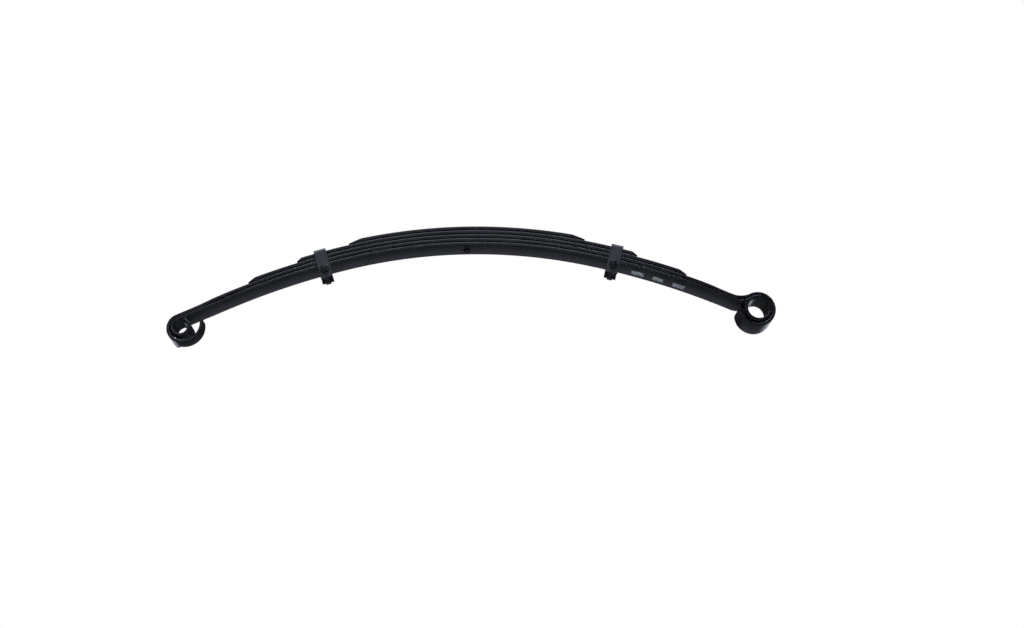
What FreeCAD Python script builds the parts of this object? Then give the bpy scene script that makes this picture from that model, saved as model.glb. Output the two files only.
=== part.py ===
"""Multi-leaf suspension spring as a parametric document.

Five curved leaves with thin liners between them, a centre bolt that clamps them, and two
bolted clips. The main leaf has a small rolled eye at its -X end and a large one at its +X
end, and the second leaf wraps round the outside of both eyes.

X runs along the spring, Y across its width and Z up, with the arch upwards. The origin is on
the centre bolt's axis, on the concave face of the main leaf. Lengths are in millimetres.
"""

import FreeCAD, Part
import math
import os

import Sketcher

DIMENSIONS = {
    # leaves and liners
    "crown_radius": 1104.0,  # concave face of the main leaf, over the middle
    "crown_angle": 13.5,  # either side of the centre bolt
    "flank_radius": 1549.0,  # the same face from there outwards
    "leaf_thickness": 6.5,
    "leaf_width": 60.0,
    "liner_thickness": 2.5,
    "liner_width": 56.0,
    "wrap_gap": 0.4,  # second leaf to main leaf where they lie together
    "third_reach": 465.0,  # half length along X, at the concave face
    "fourth_reach": 363.0,
    "fifth_reach": 253.0,
    "third_bevel": 15.0,  # how far the convex face stops short of the concave one
    "fourth_bevel": 10.0,
    "fifth_bevel": 28.0,
    "liner_setback": 12.0,  # a liner ends this far inside the leaf above it
    # small eye, at the end of a straight run
    "small_eye_radius": 14.5,
    "small_end_angle": 23.37,  # of the arch, where the straight run starts
    "small_end_straight": 108.0,
    "small_wrap_close": 30.0,  # degrees that the second leaf lies on the small eye
    "small_wrap_radius": 29.3,  # centre line, where it opens from the eye
    "small_wrap_open": 118.5,
    "small_hook_radius": 38.7,  # centre line of the upturned end
    "small_hook_turn": 110.5,
    "hook_cut_start": 13.0,  # the far side of the hook is cut back from this far outside the eye
    "hook_cut_end": 2.0,
    "hook_far_edge": 5.0,  # where the cut leaves its far edge, from the middle of the leaf
    # large eye, after a reverse bend
    "large_eye_radius": 22.0,
    "large_end_angle": 25.44,
    "large_bend_radius": 35.0,
    "large_bend_turn": 58.6,
    "large_wrap_bend": 50.0,  # centre line of the second leaf's own reverse bend
    "large_wrap_leave": 32.0,  # polar angle where it opens from the large eye
    "large_wrap_radius": 35.4,
    "large_wrap_open": 216.0,
    "eye_tip_gap": 0.9,  # rolled tip to the underside of its own leaf
    # where the second leaf comes down onto the main leaf
    "joggle_radius": 450.0,
    "small_contact_run": 40.0,  # straight contact between joggle and small eye
    "large_contact_angle": 24.7,  # of the arch, where contact starts near the large eye
    # centre bolt
    "centre_bolt_radius": 5.0,
    "centre_head_radius": 7.5,
    "centre_head_height": 6.0,
    "spot_face_radius": 8.0,  # flat seat for the head on the main leaf
    "centre_nut_flats": 16.0,
    "centre_nut_height": 8.0,
    "centre_bolt_proud": 1.5,
    "centre_bolt_edge": 0.8,
    "bolt_hole_radius": 5.3,
    # clips
    "left_clip_reach": 305.0,  # along X from the centre bolt, on the concave face
    "right_clip_reach": 312.0,
    "clip_width": 26.0,
    "clip_thickness": 5.0,
    "clip_side_gap": 0.5,
    "clip_top_gap": 0.3,
    "clip_bend_radius": 3.3,  # centre line
    "clip_near_drop": 27.0,  # below the main leaf's concave face, on the nut's side
    "clip_far_drop": 16.0,
    "clip_bolt_radius": 5.0,
    "clip_bolt_drop": 8.4,
    "clip_bolt_proud": 3.0,
    "clip_hole_radius": 5.3,
    "clip_flats": 17.0,
    "clip_head_height": 6.4,
    "clip_nut_height": 8.0,
    "bolt_bore_radius": 5.06,  # tubes and nuts, round their bolts
    "tube_outer_radius": 7.0,
    "tube_length": 60.0,
    "rivet_radius": 4.0,
    "rivet_head_radius": 7.5,
    "rivet_head_height": 4.0,
    "rivet_foot_radius": 6.5,
    "rivet_foot_depth": 2.5,
    "rivet_hole_radius": 4.1,
}

doc = FreeCAD.newDocument("leaf_spring")
dims = doc.addObject("Spreadsheet::Sheet", "dims")
for row, (alias, value) in enumerate(DIMENSIONS.items(), start=1):
    dims.set(f"A{row}", alias)
    dims.set(f"B{row}", str(value))
    dims.setAlias(f"B{row}", alias)
doc.recompute()


def size(alias):
    return float(dims.get(alias))


THICK = size("leaf_thickness")
PITCH = THICK + size("liner_thickness")
CROWN = size("crown_radius")
CROWN_ANGLE = size("crown_angle")
FLANK = size("flank_radius")
STACK_HEIGHT = 5 * THICK + 4 * size("liner_thickness")


# ---------------------------------------------------------------- plane geometry
# A centre line is a list of runs, each a straight Line or an Arc about a centre. An arc goes
# from one polar angle to another, in degrees, and clockwise when the second is smaller.


def polar(centre, radius, degrees):
    angle = math.radians(degrees)
    return (centre[0] + radius * math.cos(angle), centre[1] + radius * math.sin(angle))


class Line:
    def __init__(self, start, end):
        self.start = start
        self.end = end

    def offset(self, left):
        """The same line moved to its left."""
        dx = self.end[0] - self.start[0]
        dy = self.end[1] - self.start[1]
        length = math.hypot(dx, dy)
        step = (-dy / length * left, dx / length * left)
        start = (self.start[0] + step[0], self.start[1] + step[1])
        end = (self.end[0] + step[0], self.end[1] + step[1])
        return Line(start, end)

    def geometry(self):
        return Part.LineSegment(FreeCAD.Vector(*self.start, 0), FreeCAD.Vector(*self.end, 0))


class Arc:
    def __init__(self, centre, radius, first, last, radius_rule=None):
        self.centre = centre
        self.radius = radius
        self.first = first
        self.last = last
        self.radius_rule = radius_rule  # the same radius, in cells of the sheet
        self.start = polar(centre, radius, first)
        self.end = polar(centre, radius, last)

    def offset(self, left):
        """The same arc moved to its left, which is towards the centre when it runs anticlockwise."""
        side = -1 if self.last > self.first else 1
        radius = self.radius + side * left
        return Arc(self.centre, radius, self.first, self.last, self.radius_rule)

    def trimmed(self, first=None, last=None):
        """The same arc with another angle at one end or both."""
        first = self.first if first is None else first
        last = self.last if last is None else last
        return Arc(self.centre, self.radius, first, last, self.radius_rule)

    def geometry(self):
        circle = Part.Circle(FreeCAD.Vector(*self.centre, 0), FreeCAD.Vector(0, 0, 1), self.radius)
        low, high = sorted((math.radians(self.first), math.radians(self.last)))
        return Part.ArcOfCircle(circle, low, high)


def outline(runs, thickness, thickness_cell=None, left_trims=(None, None), right_trims=(None, None)):
    """Closed outline of a strip along its centre line. A trim gives another angle for the
    first or last arc on that side, which bevels the strip's end. Arcs of the arch, which all
    run clockwise, keep their radii as rules of the sheet's cells."""
    left = [run.offset(thickness / 2) for run in runs]
    right = [run.offset(-thickness / 2) for run in runs]
    for side, sign in ((left, "+"), (right, "-")):
        for run in side:
            if isinstance(run, Arc) and run.radius_rule:
                run.radius_rule += f" {sign} dims.{thickness_cell} / 2"
    for side, (at_start, at_end) in ((left, left_trims), (right, right_trims)):
        if at_start is not None:
            side[0] = side[0].trimmed(first=at_start)
        if at_end is not None:
            side[-1] = side[-1].trimmed(last=at_end)
    end_cap = Line(left[-1].end, right[-1].end)
    start_cap = Line(right[0].start, left[0].start)
    return left + [end_cap] + right[::-1] + [start_cap]


# ---------------------------------------------------------------- the arch
# Every leaf follows one arch at its own height above the main leaf's concave face: a crown
# about a centre below the bolt, and on each side a flatter flank that leaves it smoothly.
# Places on the arch are given by its slope there, in degrees.

CROWN_CENTRE = (0.0, -CROWN)
LEFT_FLANK_CENTRE = polar(CROWN_CENTRE, CROWN - FLANK, 90 + CROWN_ANGLE)
RIGHT_FLANK_CENTRE = polar(CROWN_CENTRE, CROWN - FLANK, 90 - CROWN_ANGLE)


def arch(height, left_slope, right_slope, height_rule):
    """The arch's runs at a height, from one slope on the left to another on the right."""
    runs = []
    left = min(left_slope, CROWN_ANGLE)
    right = min(right_slope, CROWN_ANGLE)
    crown_rule = f"dims.crown_radius + {height_rule}"
    flank_rule = f"dims.flank_radius + {height_rule}"
    if left_slope > left:
        turn = (90 + left_slope, 90 + left)
        runs.append(Arc(LEFT_FLANK_CENTRE, FLANK + height, *turn, flank_rule))
    runs.append(Arc(CROWN_CENTRE, CROWN + height, 90 + left, 90 - right, crown_rule))
    if right_slope > right:
        turn = (90 - right, 90 - right_slope)
        runs.append(Arc(RIGHT_FLANK_CENTRE, FLANK + height, *turn, flank_rule))
    return runs


def slope_at(x, height):
    """The arch's slope at a distance x either side of the bolt, at a height."""
    if x <= (CROWN + height) * math.sin(math.radians(CROWN_ANGLE)):
        return math.degrees(math.asin(x / (CROWN + height)))
    return math.degrees(math.asin((x + LEFT_FLANK_CENTRE[0]) / (FLANK + height)))


# ---------------------------------------------------------------- document objects


def origin_plane(body, role):
    return next(f for f in body.Origin.OriginFeatures if f.Role == role)


def new_sketch(body, role, name):
    sketch = body.newObject("Sketcher::SketchObject", name)
    sketch.AttachmentSupport = [(origin_plane(body, role), "")]
    sketch.MapMode = "FlatFace"
    return sketch


def draw(sketch, edges):
    """Adds a closed outline to a sketch, joins its corners and binds its arcs' radii."""
    for edge in edges:
        sketch.addGeometry(edge.geometry(), False)
    ends = []
    for index in range(len(edges)):
        for point in (1, 2):
            ends.append((index, point, sketch.getPoint(index, point)))
    for i, (edge_a, point_a, at_a) in enumerate(ends):
        for edge_b, point_b, at_b in ends[i + 1 :]:
            if edge_a != edge_b and at_a.distanceToPoint(at_b) < 1e-6:
                sketch.addConstraint(
                    Sketcher.Constraint("Coincident", edge_a, point_a, edge_b, point_b)
                )
    for index, edge in enumerate(edges):
        if isinstance(edge, Arc) and edge.radius_rule:
            number = sketch.addConstraint(Sketcher.Constraint("Radius", index, edge.radius))
            sketch.setExpression(f"Constraints[{number}]", edge.radius_rule)


def padded(name, plane, edges, width_cell):
    """A body whose outline is padded evenly to both sides of its plane."""
    body = doc.addObject("PartDesign::Body", name)
    body.Label = name
    sketch = new_sketch(body, plane, f"{name}_outline")
    draw(sketch, edges)
    pad = body.newObject("PartDesign::Pad", f"{name}_pad")
    pad.Profile = sketch
    pad.Midplane = True
    pad.setExpression("Length", f"dims.{width_cell}")
    doc.recompute()
    return body


def drill(body, plane, spot, radius_cell, name, depth=None):
    """A round hole square to one of the body's origin planes: right through it both ways, or
    to a depth behind that plane."""
    faces_before = len(body.Shape.Faces)
    sketch = new_sketch(body, plane, f"{name}_circle")
    centre = FreeCAD.Vector(*spot, 0)
    circle = Part.Circle(centre, FreeCAD.Vector(0, 0, 1), size(radius_cell))
    index = sketch.addGeometry(circle, False)
    number = sketch.addConstraint(Sketcher.Constraint("Radius", index, size(radius_cell)))
    sketch.setExpression(f"Constraints[{number}]", f"dims.{radius_cell}")
    pocket = body.newObject("PartDesign::Pocket", name)
    pocket.Profile = sketch
    if depth is None:
        pocket.Type = "ThroughAll"
        pocket.Midplane = True
    else:
        pocket.Length = depth
    doc.recompute()
    if len(body.Shape.Faces) == faces_before:
        raise ValueError(f"{name} removed nothing from {body.Label}")


def cylinder(name, radius_cell, height_rule, centre, axis):
    """A cylinder that starts at centre and runs along axis."""
    solid = doc.addObject("Part::Cylinder", name)
    solid.setExpression("Radius", f"dims.{radius_cell}")
    solid.setExpression("Height", height_rule)
    turn = FreeCAD.Rotation(FreeCAD.Vector(0, 0, 1), FreeCAD.Vector(*axis))
    solid.Placement = FreeCAD.Placement(FreeCAD.Vector(*centre), turn)
    return solid


def hexagon(name, flats_cell, height_cell, centre, axis):
    """A hexagonal prism that starts at centre and runs along axis."""
    solid = doc.addObject("Part::Prism", name)
    solid.Polygon = 6
    solid.setExpression("Circumradius", f"dims.{flats_cell} / 2 / cos(30)")
    solid.setExpression("Height", f"dims.{height_cell}")
    turn = FreeCAD.Rotation(FreeCAD.Vector(0, 0, 1), FreeCAD.Vector(*axis))
    solid.Placement = FreeCAD.Placement(FreeCAD.Vector(*centre), turn)
    return solid


def cut(name, base, tool):
    result = doc.addObject("Part::Cut", name)
    result.Base = base
    result.Tool = tool
    return result


def fuse(name, base, tool):
    result = doc.addObject("Part::Fuse", name)
    result.Base = base
    result.Tool = tool
    return result


def revolved(name, edges):
    """A body turned about its own Z axis from an outline in its XZ plane."""
    body = doc.addObject("PartDesign::Body", name)
    sketch = new_sketch(body, "XZ_Plane", f"{name}_profile")
    draw(sketch, edges)
    turn = body.newObject("PartDesign::Revolution", f"{name}_turned")
    turn.Profile = sketch
    turn.ReferenceAxis = (sketch, ["V_Axis"])
    turn.Angle = 360.0
    doc.recompute()
    return body


def ring(points):
    """Straight edges from each point to the next, and back to the first."""
    return [Line(a, b) for a, b in zip(points, points[1:] + points[:1])]


# ---------------------------------------------------------------- the main leaf's run
# Angles on the arch are measured at its centre, from straight up. Polar angles start at +X.

HALF = THICK / 2
SMALL_ANGLE = size("small_end_angle")
SMALL_POLAR = 90 + SMALL_ANGLE
LARGE_ANGLE = size("large_end_angle")
LARGE_POLAR = 90 - LARGE_ANGLE
small_along = polar((0, 0), 1, 180 + SMALL_ANGLE)
small_inward = polar((0, 0), 1, 270 + SMALL_ANGLE)


def beside_small_run(distance, height):
    """A point along the straight run to the small eye, at a height above its concave face."""
    start = polar(LEFT_FLANK_CENTRE, FLANK, SMALL_POLAR)
    return (
        start[0] + small_along[0] * distance - small_inward[0] * height,
        start[1] + small_along[1] * distance - small_inward[1] * height,
    )


SMALL_EYE = beside_small_run(size("small_end_straight"), -size("small_eye_radius"))
BEND_CENTRE = polar(RIGHT_FLANK_CENTRE, FLANK + HALF + size("large_bend_radius"), LARGE_POLAR)
BEND_FIRST = LARGE_POLAR + 180
BEND_LAST = BEND_FIRST + size("large_bend_turn")
large_ring = size("large_eye_radius") + HALF
LARGE_EYE = polar(BEND_CENTRE, size("large_bend_radius") + large_ring, BEND_LAST)


def ring_end_beside_line(radius, inner_face):
    """How many degrees short of a full roll a circle of this radius meets the leaf's underside."""
    return math.degrees(math.acos((inner_face - size("eye_tip_gap")) / radius))


def ring_end_beside_bend(radius):
    """Polar angle about the large eye where a circle of this radius meets the bend's underside."""
    reach = size("large_bend_radius") + HALF + size("eye_tip_gap")
    apart = size("large_bend_radius") + large_ring
    share = (apart**2 + radius**2 - reach**2) / (2 * apart * radius)
    return BEND_LAST - 180 + math.degrees(math.acos(share))


def build_main_leaf():
    small_inner = size("small_eye_radius")
    small_ring = small_inner + HALF
    large_inner = size("large_eye_radius")
    roll_end = SMALL_POLAR + 360
    small_roll_inner = roll_end - ring_end_beside_line(small_inner, small_inner)
    small_roll_outer = roll_end - ring_end_beside_line(small_inner + THICK, small_inner)
    large_first = BEND_LAST - 180
    large_roll_inner = ring_end_beside_bend(large_inner) - 360
    large_roll_outer = ring_end_beside_bend(large_inner + THICK) - 360
    runs = [
        Arc(SMALL_EYE, small_ring, roll_end - 1, SMALL_POLAR),
        Line(
            beside_small_run(size("small_end_straight"), HALF),
            beside_small_run(0, HALF),
        ),
        *arch(HALF, SMALL_ANGLE, LARGE_ANGLE, "dims.leaf_thickness / 2"),
        Arc(BEND_CENTRE, size("large_bend_radius"), BEND_FIRST, BEND_LAST),
        Arc(LARGE_EYE, large_ring, large_first, large_first - 359),
    ]
    # left of the run is the convex side of the arch
    edges = outline(
        runs,
        THICK,
        "leaf_thickness",
        left_trims=(small_roll_outer, large_roll_outer),
        right_trims=(small_roll_inner, large_roll_inner),
    )
    body = padded("main_leaf", "XZ_Plane", edges, "leaf_width")
    drill(body, "XY_Plane", (0, 0), "bolt_hole_radius", "main_leaf_hole")
    drill(body, "XY_Plane", (0, 0), "spot_face_radius", "main_leaf_spot_face", depth=THICK)
    return body


# ---------------------------------------------------------------- the second leaf


def height_rule(place):
    """Height of a leaf's centre line, place pitches above the main leaf's, in cells of the sheet."""
    return f"{place + 0.5} * dims.leaf_thickness + {place} * dims.liner_thickness"


def joggle_on_flank(outer, inner, bend, inner_slope):
    """Two equal arcs that lead from a circle about the right flank's centre down onto a
    smaller one, and the slope where they start."""
    inner_polar = 90 - inner_slope
    a = outer - bend
    b = inner + bend
    spread = math.acos((a * a + b * b - 4 * bend * bend) / (2 * a * b))
    outer_polar = inner_polar + math.degrees(spread)
    first_centre = polar(RIGHT_FLANK_CENTRE, a, outer_polar)
    second_centre = polar(RIGHT_FLANK_CENTRE, b, inner_polar)
    towards = math.degrees(
        math.atan2(second_centre[1] - first_centre[1], second_centre[0] - first_centre[0])
    )
    first = Arc(first_centre, bend, outer_polar, towards)
    second = Arc(second_centre, bend, towards + 180, inner_polar + 180)
    return 90 - outer_polar, [first, second]


def joggle_on_run(contact_end, drop, bend):
    """Two equal arcs that lead up from the contact line to the parallel line above it."""
    turn = math.degrees(math.acos(1 - drop / (2 * bend)))
    length = 2 * bend * math.sin(math.radians(turn))
    touch = size("wrap_gap") + THICK + HALF
    lower_centre = beside_small_run(contact_end, touch + bend)
    upper_centre = beside_small_run(contact_end - length, touch + drop - bend)
    first = Arc(lower_centre, bend, SMALL_POLAR + 180, SMALL_POLAR + 180 + turn)
    second = Arc(upper_centre, bend, SMALL_POLAR + turn, SMALL_POLAR)
    return contact_end - length, [first, second]


def bearing(start, end):
    """Polar angle of the direction from one point to another."""
    return math.degrees(math.atan2(end[1] - start[1], end[0] - start[0]))


def between_circles(flank_reach, eye_reach):
    """The point above the leaf that is flank_reach from the right flank's centre and
    eye_reach from the large eye."""
    apart = math.dist(RIGHT_FLANK_CENTRE, LARGE_EYE)
    share = (flank_reach**2 + apart**2 - eye_reach**2) / (2 * flank_reach * apart)
    lean = math.degrees(math.acos(share))
    return polar(RIGHT_FLANK_CENTRE, flank_reach, bearing(RIGHT_FLANK_CENTRE, LARGE_EYE) + lean)


def build_second_leaf():
    gap = size("wrap_gap")
    drop = size("liner_thickness") - gap
    bend = size("joggle_radius")
    spaced = FLANK + PITCH + HALF
    touching = FLANK + THICK + gap + HALF
    # small end: hook, opening, then close round the eye and up the straight run
    wrap = size("small_eye_radius") + THICK + gap + HALF
    leave = SMALL_POLAR + size("small_wrap_close")
    opening = size("small_wrap_radius")
    opening_centre = polar(SMALL_EYE, wrap - opening, leave)
    hook_first = leave + size("small_wrap_open")
    hook_centre = polar(opening_centre, opening - size("small_hook_radius"), hook_first)
    hook_last = hook_first + size("small_hook_turn")
    straight = size("small_end_straight")
    contact_end = straight - size("small_contact_run")
    joggle_start, small_joggle = joggle_on_run(contact_end, drop, bend)
    # large end
    contact_slope = size("large_contact_angle")
    large_slope, large_joggle = joggle_on_flank(spaced, touching, bend, contact_slope)
    large_wrap = large_ring + THICK + gap
    bend_radius = size("large_wrap_bend")
    bend_centre = between_circles(touching + bend_radius, large_wrap + bend_radius)
    bend_first = bearing(bend_centre, RIGHT_FLANK_CENTRE) + 360
    bend_last = bearing(bend_centre, LARGE_EYE) + 360
    large_leave = size("large_wrap_leave")
    large_opening = size("large_wrap_radius")
    large_centre = polar(LARGE_EYE, large_wrap - large_opening, large_leave)
    runs = [
        Arc(hook_centre, size("small_hook_radius"), hook_last, hook_first),
        Arc(opening_centre, opening, hook_first, leave),
        Arc(SMALL_EYE, wrap, leave, SMALL_POLAR),
        Line(
            beside_small_run(straight, THICK + gap + HALF),
            beside_small_run(contact_end, THICK + gap + HALF),
        ),
        *small_joggle,
        Line(
            beside_small_run(joggle_start, PITCH + HALF),
            beside_small_run(0, PITCH + HALF),
        ),
        *arch(PITCH + HALF, SMALL_ANGLE, large_slope, height_rule(1)),
        *large_joggle,
        Arc(RIGHT_FLANK_CENTRE, touching, 90 - contact_slope, bend_first - 180),
        Arc(bend_centre, bend_radius, bend_first, bend_last),
        Arc(LARGE_EYE, large_wrap, bend_last - 180, large_leave),
        Arc(large_centre, large_opening, large_leave, large_leave - size("large_wrap_open")),
    ]
    edges = outline(runs, THICK, "leaf_thickness")
    whole = padded("second_leaf_strip", "XZ_Plane", edges, "leaf_width")
    drill(whole, "XY_Plane", (0, 0), "bolt_hole_radius", "second_leaf_hole")
    return cut_hook_back(whole, hook_tip=runs[0].start)


def cut_hook_back(whole, hook_tip):
    """Cuts the far side of the hook away below the small eye, so that only its near part is
    left from there to the tip."""
    start = SMALL_EYE[0] - size("hook_cut_start")
    end = SMALL_EYE[0] - size("hook_cut_end")
    beyond = SMALL_EYE[0] + 2 * size("small_hook_radius")
    far_edge = size("hook_far_edge")
    leaf_side = size("leaf_width") / 2
    outside = leaf_side + 1
    corners = [
        (start, leaf_side),
        (end, far_edge),
        (beyond, far_edge),
        (beyond, outside),
        (start, outside),
    ]
    block = doc.addObject("PartDesign::Body", "hook_trim")
    sketch = new_sketch(block, "XY_Plane", "hook_plan")
    draw(sketch, ring(corners))
    height = 3 * size("small_hook_radius")
    pad = block.newObject("PartDesign::Pad", "hook_block")
    pad.Profile = sketch
    pad.Length = height
    top = hook_tip[1] + 1
    block.Placement.Base = FreeCAD.Vector(0, 0, top - height)
    doc.recompute()
    trimmed = cut("second_leaf_cut", whole, block)
    doc.recompute()
    if trimmed.Shape.Volume > whole.Shape.Volume - 1:
        raise ValueError("the hook was not cut back")
    trimmed.Label = "second_leaf"
    return trimmed


# ---------------------------------------------------------------- short leaves and liners


def build_short_leaf(name, place):
    """A plain leaf, place pitches above the main one, whose ends are bevelled from above."""
    low = place * PITCH
    reach = size(f"{name}_reach")
    foot = slope_at(reach, low)
    top = slope_at(reach - size(f"{name}_bevel"), low + THICK)
    runs = arch(low + HALF, foot, foot, height_rule(place))
    edges = outline(runs, THICK, "leaf_thickness", left_trims=(90 + top, 90 - top))
    body = padded(f"{name}_leaf", "XZ_Plane", edges, "leaf_width")
    drill(body, "XY_Plane", (0, 0), "bolt_hole_radius", f"{name}_leaf_hole")
    return body


def build_liner(name, place, reach):
    """The thin strip between two leaves, place pitches up."""
    thick = size("liner_thickness")
    middle = place * PITCH - thick / 2
    slope = slope_at(reach, middle)
    rule = f"{place} * dims.leaf_thickness + {place - 0.5} * dims.liner_thickness"
    edges = outline(arch(middle, slope, slope, rule), thick, "liner_thickness")
    body = padded(name, "XZ_Plane", edges, "liner_width")
    drill(body, "XY_Plane", (0, 0), "bolt_hole_radius", f"{name}_hole")
    return body


# ---------------------------------------------------------------- clips
# A clip's own frame stands on the main leaf's concave face, with its Z axis square to it.

CLIP_STACK = 4 * THICK + 3 * size("liner_thickness")
LEG_OUTSIDE = size("leaf_width") / 2 + size("clip_side_gap") + size("clip_thickness")
WEB_INSIDE = CLIP_STACK + size("clip_top_gap")


def clip_frame(side):
    """Side is -1 for the left clip and 1 for the right one."""
    reach = size("left_clip_reach") if side < 0 else size("right_clip_reach")
    slope = side * slope_at(reach, 0)
    centre = LEFT_FLANK_CENTRE if side < 0 else RIGHT_FLANK_CENTRE
    base = polar(centre, FLANK, 90 - slope)
    turn = FreeCAD.Rotation(FreeCAD.Vector(0, 1, 0), slope)
    return FreeCAD.Placement(FreeCAD.Vector(base[0], 0, base[1]), turn)


def build_strap(name, frame):
    thick = size("clip_thickness")
    bend = size("clip_bend_radius")
    leg = LEG_OUTSIDE - thick / 2
    top = WEB_INSIDE + thick / 2
    near_foot = -size("clip_near_drop")
    far_foot = -size("clip_far_drop")
    runs = [
        Line((-leg, near_foot), (-leg, top - bend)),
        Arc((bend - leg, top - bend), bend, 180, 90),
        Line((bend - leg, top), (leg - bend, top)),
        Arc((leg - bend, top - bend), bend, 90, 0),
        Line((leg, top - bend), (leg, far_foot)),
    ]
    body = padded(name, "YZ_Plane", outline(runs, thick), "clip_width")
    bolt_spot = (0, -size("clip_bolt_drop"))
    drill(body, "XZ_Plane", bolt_spot, "clip_hole_radius", f"{name}_bolt_holes")
    drill(body, "XY_Plane", (0, 0), "rivet_hole_radius", f"{name}_rivet_hole")
    body.Placement = frame
    return body


def build_clip_bolt(name, frame):
    start = (0, LEG_OUTSIDE, -size("clip_bolt_drop"))
    length = (
        "dims.leaf_width + 2 * dims.clip_side_gap + 2 * dims.clip_thickness"
        " + dims.clip_nut_height + dims.clip_bolt_proud"
    )
    head = hexagon(f"{name}_head", "clip_flats", "clip_head_height", start, (0, 1, 0))
    shank = cylinder(f"{name}_shank", "clip_bolt_radius", length, start, (0, -1, 0))
    bolt = fuse(name, head, shank)
    bolt.Placement = frame
    return bolt


def build_clip_nut(name, frame):
    drop = -size("clip_bolt_drop")
    start = (0, -LEG_OUTSIDE, drop)
    blank = hexagon(f"{name}_blank", "clip_flats", "clip_nut_height", start, (0, -1, 0))
    bore = cylinder(
        f"{name}_bore", "bolt_bore_radius", "dims.clip_nut_height", start, (0, -1, 0)
    )
    nut = cut(name, blank, bore)
    nut.Placement = frame
    return nut


def build_tube(name, frame):
    drop = -size("clip_bolt_drop")
    start = (0, -size("tube_length") / 2, drop)
    outside = cylinder(f"{name}_outside", "tube_outer_radius", "dims.tube_length", start, (0, 1, 0))
    inside = cylinder(f"{name}_inside", "bolt_bore_radius", "dims.tube_length", start, (0, 1, 0))
    tube = cut(name, outside, inside)
    tube.Placement = frame
    return tube


def rivet_profile(gap):
    """Half section of the rivet's shank and flush foot, grown by a gap all round."""
    bottom = CLIP_STACK - THICK
    shank = size("rivet_radius") + gap
    foot = size("rivet_foot_radius") + gap
    top = WEB_INSIDE + size("clip_thickness")
    neck = bottom + size("rivet_foot_depth")
    return [(0, bottom), (foot, bottom), (shank, neck), (shank, top), (0, top)]


def build_rivet(name, frame):
    points = rivet_profile(0)
    top = points[-1][1]
    head = size("rivet_head_radius")
    rise = size("rivet_head_height")
    dome = (head * head + rise * rise) / (2 * rise)
    centre = (0, top + rise - dome)
    edge_angle = math.degrees(math.acos(head / dome))
    edges = [
        *[Line(a, b) for a, b in zip(points[:3], points[1:4])],
        Line(points[3], (head, top)),
        Arc(centre, dome, edge_angle, 90),
        Line((0, top + rise), points[0]),
    ]
    body = revolved(name, edges)
    body.Placement = frame
    return body


def build_fourth_leaf(frames):
    """The fourth leaf, with a countersunk hole for each clip's rivet."""
    leaf = build_short_leaf("fourth", 3)
    leaf.Label = "fourth_leaf_blank"
    gap = size("rivet_hole_radius") - size("rivet_radius")
    for side, frame in frames.items():
        tool = revolved(f"{side}_rivet_room", ring(rivet_profile(gap)))
        tool.Placement = frame
        leaf = cut(f"fourth_leaf_{side}_hole", leaf, tool)
        doc.recompute()
    leaf.Label = "fourth_leaf"
    return leaf


# ---------------------------------------------------------------- centre bolt


def build_centre_bolt():
    shank = size("centre_bolt_radius")
    head = size("centre_head_radius")
    low = -size("centre_head_height")
    top = STACK_HEIGHT + size("centre_nut_height") + size("centre_bolt_proud")
    edge = size("centre_bolt_edge")
    points = [
        (0, low),
        (head - edge, low),
        (head, low + edge),
        (head, 0),
        (shank, 0),
        (shank, top - edge),
        (shank - edge, top),
        (0, top),
    ]
    return revolved("centre_bolt", ring(points))


def build_centre_nut():
    start = (0, 0, STACK_HEIGHT)
    up = (0, 0, 1)
    blank = hexagon("centre_nut_blank", "centre_nut_flats", "centre_nut_height", start, up)
    bore = cylinder("centre_nut_bore", "bolt_bore_radius", "dims.centre_nut_height", start, up)
    return cut("centre_nut", blank, bore)


# ---------------------------------------------------------------- assembly

clip_frames = {"left": clip_frame(-1), "right": clip_frame(1)}
liner_inset = size("liner_setback")
pieces = {
    "main_leaf": build_main_leaf(),
    "second_leaf": build_second_leaf(),
    "third_leaf": build_short_leaf("third", 2),
    "fourth_leaf": build_fourth_leaf(clip_frames),
    "fifth_leaf": build_short_leaf("fifth", 4),
    "first_liner": build_liner("first_liner", 1, size("third_reach") + liner_inset),
    "second_liner": build_liner("second_liner", 2, size("third_reach") - liner_inset),
    "third_liner": build_liner("third_liner", 3, size("fourth_reach") - liner_inset),
    "fourth_liner": build_liner("fourth_liner", 4, size("fifth_reach") - liner_inset),
    "centre_bolt": build_centre_bolt(),
    "centre_nut": build_centre_nut(),
}
for side, frame in clip_frames.items():
    pieces[f"{side}_clip_strap"] = build_strap(f"{side}_clip_strap", frame)
    pieces[f"{side}_clip_rivet"] = build_rivet(f"{side}_clip_rivet", frame)
    pieces[f"{side}_clip_bolt"] = build_clip_bolt(f"{side}_clip_bolt", frame)
    pieces[f"{side}_clip_nut"] = build_clip_nut(f"{side}_clip_nut", frame)
    pieces[f"{side}_clip_tube"] = build_tube(f"{side}_clip_tube", frame)
doc.recompute()

for item in doc.Objects:
    if "Invalid" in item.State or "Error" in item.State:
        raise ValueError(f"{item.Label} failed: {item.State}")
for name, piece in pieces.items():
    shape = piece.Shape
    if shape.isNull() or not shape.isValid() or len(shape.Solids) != 1:
        raise ValueError(f"{name} is not one valid solid")

os.makedirs("parts", exist_ok=True)
for name, piece in pieces.items():
    piece.Shape.exportStep(f"parts/{name}.step")
    box = piece.Shape.BoundBox
    print(
        f"{name}: {piece.Shape.Volume / 1000:.1f} cm3,"
        f" x {box.XMin:.1f}..{box.XMax:.1f}, y {box.YMin:.1f}..{box.YMax:.1f},"
        f" z {box.ZMin:.1f}..{box.ZMax:.1f}"
    )
print("small eye", SMALL_EYE, "large eye", LARGE_EYE)
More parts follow.
